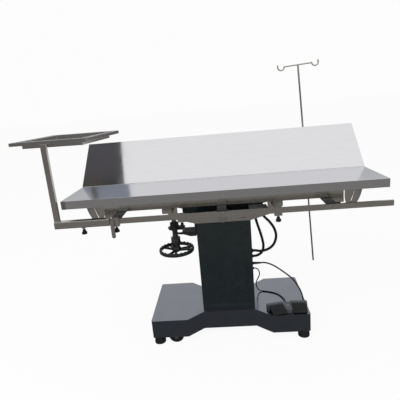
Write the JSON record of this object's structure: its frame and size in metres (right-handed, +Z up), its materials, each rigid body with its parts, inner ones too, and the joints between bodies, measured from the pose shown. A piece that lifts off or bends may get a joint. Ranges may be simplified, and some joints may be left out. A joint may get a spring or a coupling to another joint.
{
  "type": "veterinary surgery table",
  "caption": "Stainless surgery table for animals: hinged V top on a lift column and wide base, handwheel tilt, side rails, instrument tray, infusion pole and foot switch.",
  "frame": {"origin": "on the floor, midway between the four levelling feet, under the middle of the column", "axes": "+X along the top towards the infusion pole's end, +Y away from the side with the tray and foot switch, +Z up"},
  "size_m": [1.6713, 0.7715, 1.4268],
  "materials": {
    "stainless_sheet": "brushed, bright",
    "stainless_bar": "brushed, satin",
    "green_paint": "gloss enamel",
    "grey_paint": "satin",
    "black_paint": "satin",
    "black_plastic": "moulded, fine grain",
    "handwheel_plastic": "moulded, polished",
    "grey_plastic": "moulded",
    "pad_plastic": "machined",
    "black_rubber": "matt",
    "zinc_steel": "ground",
    "bronze": "machined"
  },
  "bodies": {
    "base": {"base_shell": "green_paint", "base_frame": "grey_paint", "wheel_brackets": "grey_paint", "column_casing": "green_paint", "column_seal": "black_rubber", "mast_outer": "grey_paint", "glide_pads": "pad_plastic", "actuator_body": "black_paint", "control_box": "grey_plastic", "power_inlet": "black_plastic", "cable_glands": "black_plastic", "switch_housing": "grey_plastic", "lead_upper": "black_rubber", "lead_lower": "black_rubber", "hose_front": "black_rubber", "hose_rear": "black_rubber"},
    "foot_front_left": {"foot_front_left": "black_rubber"},
    "foot_front_right": {"foot_front_right": "black_rubber"},
    "foot_rear_left": {"foot_rear_left": "black_rubber"},
    "foot_rear_right": {"foot_rear_right": "black_rubber"},
    "wheel_front": {"wheel_front": "black_rubber"},
    "wheel_rear": {"wheel_rear": "black_rubber"},
    "pedal_left": {"pedal_left": "black_plastic"},
    "pedal_right": {"pedal_right": "black_plastic"},
    "head": {"mast_inner": "stainless_bar", "actuator_rod": "zinc_steel", "head_block": "green_paint", "tilt_shaft": "zinc_steel", "screw_bracket": "black_paint", "junction_box": "black_plastic"},
    "tilt_block": {"screw_block": "black_paint"},
    "handwheel": {"tilt_screw": "zinc_steel", "handwheel": "handwheel_plastic"},
    "table_frame": {"saddle_plates": "stainless_bar", "under_frame": "stainless_bar", "side_tubes": "stainless_bar", "side_rails": "stainless_bar", "rail_arms": "black_paint", "frame_bolts": "zinc_steel", "hinge_rod": "zinc_steel"},
    "tilt_nut": {"screw_nut": "bronze"},
    "front_panel": {"panel_front": "stainless_sheet", "quadrants_front": "stainless_bar"},
    "rear_panel": {"panel_rear": "stainless_sheet", "quadrants_rear": "stainless_bar"},
    "tray_arm": {"tray_arm": "stainless_bar"},
    "tray_arm_knob": {"tray_arm_knob": "black_plastic"},
    "tray": {"tray_ring": "stainless_bar", "tray_pan": "stainless_sheet"},
    "clamp_left": {"clamp_left": "stainless_bar"},
    "clamp_mid": {"clamp_mid": "stainless_bar"},
    "clamp_right": {"clamp_right": "stainless_bar"},
    "clamp_left_knob": {"clamp_left_knob": "black_plastic"},
    "clamp_mid_knob": {"clamp_mid_knob": "black_plastic"},
    "clamp_right_knob": {"clamp_right_knob": "black_plastic"},
    "iv_clamp": {"iv_clamp": "stainless_bar"},
    "iv_clamp_knob": {"iv_clamp_knob": "black_plastic"},
    "iv_socket": {"iv_socket": "stainless_bar"},
    "iv_pole_knob": {"iv_pole_knob": "black_plastic"},
    "iv_pole": {"iv_pole": "stainless_bar"}
  },
  "joints": [
    {"name": "foot_front_left_turn", "type": "hinge", "parent": "base", "child": "foot_front_left", "pos_m": [-0.386, -0.18, 0.1], "axis": [0, 0, 1], "continuous": true},
    {"name": "foot_front_right_turn", "type": "hinge", "parent": "base", "child": "foot_front_right", "pos_m": [0.386, -0.18, 0.1], "axis": [0, 0, 1], "continuous": true},
    {"name": "foot_rear_left_turn", "type": "hinge", "parent": "base", "child": "foot_rear_left", "pos_m": [-0.386, 0.18, 0.1], "axis": [0, 0, 1], "continuous": true},
    {"name": "foot_rear_right_turn", "type": "hinge", "parent": "base", "child": "foot_rear_right", "pos_m": [0.386, 0.18, 0.1], "axis": [0, 0, 1], "continuous": true},
    {"name": "wheel_front_spin", "type": "hinge", "parent": "base", "child": "wheel_front", "pos_m": [-0.293, -0.189, 0.041], "axis": [0, 1, 0], "continuous": true},
    {"name": "wheel_rear_spin", "type": "hinge", "parent": "base", "child": "wheel_rear", "pos_m": [-0.293, 0.189, 0.041], "axis": [0, 1, 0], "continuous": true},
    {"name": "pedal_left_press", "type": "hinge", "parent": "base", "child": "pedal_left", "pos_m": [0.249, -0.14715, 0.156], "axis": [0.9781, 0.2079, 0], "range_deg": [0, 3], "stiffness_Nm_per_rad": 3, "springref_deg": -5.73},
    {"name": "pedal_right_press", "type": "hinge", "parent": "base", "child": "pedal_right", "pos_m": [0.37131, -0.1386, 0.156], "axis": [0.9976, -0.0698, 0], "range_deg": [0, 3], "stiffness_Nm_per_rad": 3, "springref_deg": -5.73},
    {"name": "lift", "type": "slide", "parent": "base", "child": "head", "axis": [0, 0, 1], "range_m": [0, 0.25], "deforming": ["hose_front", "hose_rear"]},
    {"name": "block_pivot", "type": "hinge", "parent": "head", "child": "tilt_block", "pos_m": [-0.262, -0.06, 0.613], "axis": [0, 1, 0], "range_deg": [-6.01, 6.01]},
    {"name": "handwheel_turn", "type": "hinge", "parent": "tilt_block", "child": "handwheel", "pos_m": [-0.262, -0.06, 0.482], "axis": [0, 0, 1], "range_deg": [-3960, 3960]},
    {"name": "tilt", "type": "hinge", "parent": "head", "child": "table_frame", "pos_m": [0, 0, 0.663], "axis": [0, 1, 0], "range_deg": [-12.01, 12.01]},
    {"name": "nut_pivot", "type": "hinge", "parent": "table_frame", "child": "tilt_nut", "pos_m": [-0.262, -0.06, 0.713], "axis": [0, 1, 0], "range_deg": [-6.01, 6.01]},
    {"name": "front_panel_hinge", "type": "hinge", "parent": "table_frame", "child": "front_panel", "pos_m": [0, 0, 0.845], "axis": [-1, 0, 0], "range_deg": [0, 45]},
    {"name": "rear_panel_hinge", "type": "hinge", "parent": "table_frame", "child": "rear_panel", "pos_m": [0, 0, 0.845], "axis": [1, 0, 0], "range_deg": [-45, 0]},
    {"name": "tray_arm_slide", "type": "slide", "parent": "table_frame", "child": "tray_arm", "axis": [1, 0, 0], "range_m": [-0.15, 0]},
    {"name": "tray_arm_knob_turn", "type": "hinge", "parent": "tray_arm", "child": "tray_arm_knob", "pos_m": [-0.642, -0.34, 0.72], "axis": [0, 0, 1], "continuous": true},
    {"name": "tray_swivel", "type": "hinge", "parent": "tray_arm", "child": "tray", "pos_m": [-0.761, -0.34, 1.122], "axis": [0, 0, 1], "continuous": true},
    {"name": "clamp_left_slide", "type": "slide", "parent": "table_frame", "child": "clamp_left", "axis": [1, 0, 0], "range_m": [0, 0.2]},
    {"name": "clamp_left_knob_turn", "type": "hinge", "parent": "clamp_left", "child": "clamp_left_knob", "pos_m": [-0.488, -0.3415, 0.72], "axis": [0, 0, 1], "continuous": true},
    {"name": "clamp_mid_slide", "type": "slide", "parent": "table_frame", "child": "clamp_mid", "axis": [1, 0, 0], "range_m": [-0.02, 0.15]},
    {"name": "clamp_mid_knob_turn", "type": "hinge", "parent": "clamp_mid", "child": "clamp_mid_knob", "pos_m": [-0.184, -0.3415, 0.72], "axis": [0, 0, 1], "continuous": true},
    {"name": "clamp_right_slide", "type": "slide", "parent": "table_frame", "child": "clamp_right", "axis": [1, 0, 0], "range_m": [-0.2, 0.45]},
    {"name": "clamp_right_knob_turn", "type": "hinge", "parent": "clamp_right", "child": "clamp_right_knob", "pos_m": [0.25, -0.3415, 0.72], "axis": [0, 0, 1], "continuous": true},
    {"name": "iv_clamp_slide", "type": "slide", "parent": "table_frame", "child": "iv_clamp", "axis": [1, 0, 0], "range_m": [-1.2, 0.19]},
    {"name": "iv_clamp_knob_turn", "type": "hinge", "parent": "iv_clamp", "child": "iv_clamp_knob", "pos_m": [0.535, 0.3415, 0.72], "axis": [0, 0, 1], "continuous": true},
    {"name": "iv_socket_turn", "type": "hinge", "parent": "iv_clamp", "child": "iv_socket", "pos_m": [0.535, 0.3713, 0.75], "axis": [0, 1, 0], "range_deg": [-40, 40]},
    {"name": "iv_pole_knob_turn", "type": "hinge", "parent": "iv_socket", "child": "iv_pole_knob", "pos_m": [0.53427, 0.3713, 0.76198], "axis": [0, 1, 0], "continuous": true},
    {"name": "iv_pole_slide", "type": "slide", "parent": "iv_socket", "child": "iv_pole", "axis": [-0.061, 0, 0.9981], "range_m": [-0.05, 0.5]}
  ],
  "couplings": [
    {"joint": "tilt", "follows": "handwheel_turn", "ratio": 0.0030303},
    {"joint": "block_pivot", "follows": "handwheel_turn", "ratio": 0.0015152},
    {"joint": "nut_pivot", "follows": "handwheel_turn", "ratio": -0.0015152}
  ]
}
